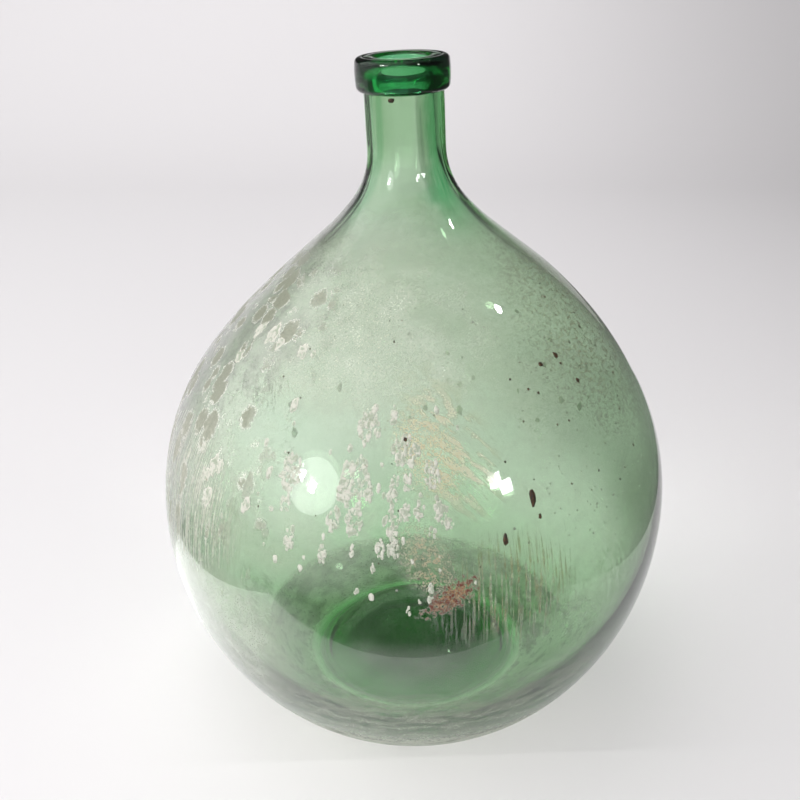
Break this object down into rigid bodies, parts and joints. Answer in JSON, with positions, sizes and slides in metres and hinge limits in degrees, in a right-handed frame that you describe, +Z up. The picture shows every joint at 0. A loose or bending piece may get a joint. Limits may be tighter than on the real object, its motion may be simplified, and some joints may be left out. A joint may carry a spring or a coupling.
{
  "type": "glass carboy",
  "caption": "Round-bellied hand-blown green glass demijohn with a kicked-up base, a narrow slightly leaning neck and a wound lip ring.",
  "frame": {"origin": "middle of the resting ring, on the surface the carboy stands on", "axes": "+Z up to the mouth; the neck leans towards -X; -Y is the side seen from the front"},
  "size_m": [0.341, 0.3408, 0.4437],
  "materials": {
    "green_glass": "clear green glass with a dull lime film inside and streaks of old wine stain",
    "lip_glass": "thick glossy green glass",
    "lime_scale": null,
    "wine_stain": null
  },
  "bodies": {
    "root": {"glass_body": "green_glass", "lip_ring": "lip_glass"}
  },
  "joints": []
}
